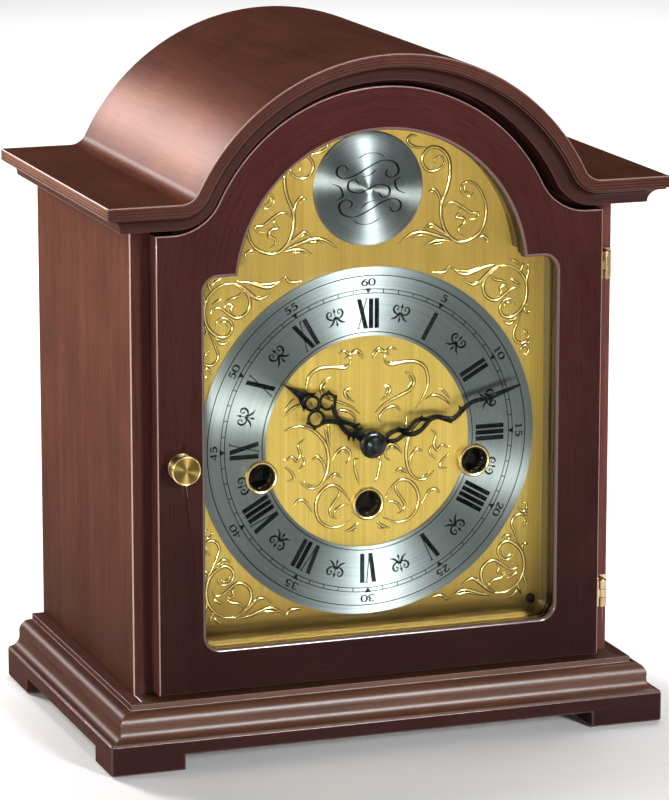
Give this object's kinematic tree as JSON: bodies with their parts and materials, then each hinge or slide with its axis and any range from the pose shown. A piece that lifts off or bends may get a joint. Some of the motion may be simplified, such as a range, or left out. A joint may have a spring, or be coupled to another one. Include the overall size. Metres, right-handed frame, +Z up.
{
  "type": "shelf clock",
  "caption": "Break-arch wooden shelf clock with a hinged glazed door, brass dial, silvered chapter ring, serpentine hands and a key-wound chiming movement.",
  "frame": {"origin": "middle of the footprint, on the floor plane under the feet", "axes": "+X to the right of the dial, front of the clock towards -Y, +Z up"},
  "size_m": [0.2594, 0.1716, 0.31],
  "materials": {
    "wood_case": "dark red-brown stain under satin lacquer",
    "wood_door": "dark red-brown stain under satin lacquer",
    "wood_inner": "stained plywood, thin lacquer",
    "dial_brass": "vertically brushed and lacquered, engraved scrolls",
    "silvered": "circularly brushed silvering, lacquered",
    "polished_brass": "polished",
    "black_metal": "black, half gloss",
    "steel": "bright",
    "movement_brass": "lacquered, light brushing",
    "cast_iron": "black painted casting",
    "glass": "clear float glass"
  },
  "bodies": {
    "case": {"arch_boss": "silvered", "arched_top": "wood_case", "back_frame": "wood_inner", "back_plate": "movement_brass", "balance_bridge": "movement_brass", "base_board": "wood_inner", "base_moulding_front": "wood_case", "base_moulding_returns": "wood_case", "brass_screws": "polished_brass", "case_hinge_leaves": "polished_brass", "chapter_ring": "silvered", "chime_bridge": "movement_brass", "chime_rod_block": "cast_iron", "chime_rods": "steel", "cornice_cove_front": "wood_case", "cornice_cove_returns": "wood_case", "dial_plate": "dial_brass", "dial_screws": "black_metal", "door_magnet": "steel", "front_frame": "wood_inner", "front_plate": "movement_brass", "hinge_pins": "polished_brass", "movement_brackets": "steel", "pillars": "movement_brass", "plinth_front": "wood_case", "plinth_returns": "wood_case", "side_panel_left": "wood_case", "side_panel_right": "wood_case", "steel_screws": "steel", "winding_bushes": "polished_brass"},
    "front_door": {"door_frame": "wood_door", "door_glass": "glass", "glass_retainer": "wood_door", "door_knob": "polished_brass", "door_hinge_leaves": "polished_brass", "door_strike_plate": "steel"},
    "rear_door": {"rear_door": "wood_inner", "rear_hinge_leaves": "polished_brass"},
    "minute": {"minute_hand": "black_metal", "hand_nut": "black_metal", "centre_arbor": "movement_brass"},
    "hour": {"hour_hand": "black_metal", "hour_wheel": "movement_brass"},
    "motion_wheel": {"minute_wheel": "movement_brass"},
    "time_barrel": {"time_barrel": "movement_brass"},
    "third": {"third_wheel": "movement_brass"},
    "escape": {"escape_wheel": "movement_brass"},
    "anchor": {"pallet_anchor": "steel"},
    "balance": {"balance_wheel": "movement_brass"},
    "strike_barrel": {"strike_barrel": "movement_brass"},
    "strike_second": {"strike_pin_wheel": "movement_brass"},
    "chime_barrel": {"chime_barrel": "movement_brass"},
    "chime_second": {"chime_drum": "movement_brass"},
    "time_arbor": {"time_winding_arbor": "steel"},
    "strike_arbor": {"strike_winding_arbor": "steel"},
    "chime_arbor": {"chime_winding_arbor": "steel"},
    "hammer_1": {"chime_hammer_1": "movement_brass"},
    "hammer_2": {"chime_hammer_2": "movement_brass"},
    "hammer_3": {"chime_hammer_3": "movement_brass"},
    "hammer_4": {"chime_hammer_4": "movement_brass"}
  },
  "joints": [
    {"name": "front_door_hinge", "type": "hinge", "parent": "case", "child": "front_door", "pos_m": [0.1064, -0.069, 0.1325], "axis": [0, 0, 1], "range_deg": [0, 110]},
    {"name": "rear_door_hinge", "type": "hinge", "parent": "case", "child": "rear_door", "pos_m": [0.0817, 0.0836, 0.1325], "axis": [0, 0, -1], "range_deg": [0, 95]},
    {"name": "minute_turn", "type": "hinge", "parent": "case", "child": "minute", "pos_m": [0, -0.05, 0.1325], "axis": [0, 1, 0], "continuous": true},
    {"name": "hour_turn", "type": "hinge", "parent": "case", "child": "hour", "pos_m": [0, -0.05, 0.1325], "axis": [0, 1, 0], "continuous": true},
    {"name": "motion_wheel_turn", "type": "hinge", "parent": "case", "child": "motion_wheel", "pos_m": [0.01804, -0.045, 0.13907], "axis": [0, 1, 0], "continuous": true},
    {"name": "time_barrel_turn", "type": "hinge", "parent": "case", "child": "time_barrel", "pos_m": [0, -0.016, 0.10415], "axis": [0, 1, 0], "continuous": true},
    {"name": "third_wheel_turn", "type": "hinge", "parent": "case", "child": "third", "pos_m": [-0.012, -0.019, 0.14973], "axis": [0, 1, 0], "continuous": true},
    {"name": "escape_wheel_turn", "type": "hinge", "parent": "case", "child": "escape", "pos_m": [-0.00309, -0.0015, 0.16326], "axis": [0, 1, 0], "continuous": true},
    {"name": "anchor_rock", "type": "hinge", "parent": "case", "child": "anchor", "pos_m": [-0.00309, -0.0015, 0.17476], "axis": [0, 1, 0], "range_deg": [-4, 4]},
    {"name": "balance_swing", "type": "hinge", "parent": "case", "child": "balance", "pos_m": [-0.00309, 0.0115, 0.1905], "axis": [0, 1, 0], "range_deg": [-120, 120], "stiffness_Nm_per_rad": 0.00015},
    {"name": "strike_barrel_turn", "type": "hinge", "parent": "case", "child": "strike_barrel", "pos_m": [-0.0502, -0.016, 0.1202], "axis": [0, 1, 0], "continuous": true},
    {"name": "strike_pin_wheel_turn", "type": "hinge", "parent": "case", "child": "strike_second", "pos_m": [-0.047, -0.03, 0.14837], "axis": [0, 1, 0], "continuous": true},
    {"name": "chime_barrel_turn", "type": "hinge", "parent": "case", "child": "chime_barrel", "pos_m": [0.0502, -0.016, 0.1202], "axis": [0, 1, 0], "continuous": true},
    {"name": "chime_drum_turn", "type": "hinge", "parent": "case", "child": "chime_second", "pos_m": [0.047, 0.03, 0.14837], "axis": [0, 1, 0], "continuous": true},
    {"name": "time_winding", "type": "hinge", "parent": "case", "child": "time_arbor", "pos_m": [0, -0.04, 0.10415], "axis": [0, 1, 0], "continuous": true},
    {"name": "strike_winding", "type": "hinge", "parent": "case", "child": "strike_arbor", "pos_m": [-0.0502, -0.04, 0.1202], "axis": [0, 1, 0], "continuous": true},
    {"name": "chime_winding", "type": "hinge", "parent": "case", "child": "chime_arbor", "pos_m": [0.0502, -0.04, 0.1202], "axis": [0, 1, 0], "continuous": true},
    {"name": "hammer_1_lift", "type": "hinge", "parent": "case", "child": "hammer_1", "pos_m": [0.028, 0.016, 0.1305], "axis": [0, 1, 0], "range_deg": [0, 14]},
    {"name": "hammer_2_lift", "type": "hinge", "parent": "case", "child": "hammer_2", "pos_m": [0.028, 0.026, 0.1305], "axis": [0, 1, 0], "range_deg": [0, 14]},
    {"name": "hammer_3_lift", "type": "hinge", "parent": "case", "child": "hammer_3", "pos_m": [0.028, 0.036, 0.1305], "axis": [0, 1, 0], "range_deg": [0, 14]},
    {"name": "hammer_4_lift", "type": "hinge", "parent": "case", "child": "hammer_4", "pos_m": [0.028, 0.046, 0.1305], "axis": [0, 1, 0], "range_deg": [0, 14]}
  ],
  "couplings": [
    {"joint": "hour_turn", "follows": "minute_turn", "ratio": 0.083333},
    {"joint": "motion_wheel_turn", "follows": "minute_turn", "ratio": -0.33333},
    {"joint": "time_barrel_turn", "follows": "minute_turn", "ratio": -0.17391},
    {"joint": "third_wheel_turn", "follows": "minute_turn", "ratio": -6},
    {"joint": "escape_wheel_turn", "follows": "minute_turn", "ratio": 30},
    {"joint": "strike_pin_wheel_turn", "follows": "strike_barrel_turn", "ratio": -5.75},
    {"joint": "chime_drum_turn", "follows": "chime_barrel_turn", "ratio": -5.75}
  ]
}
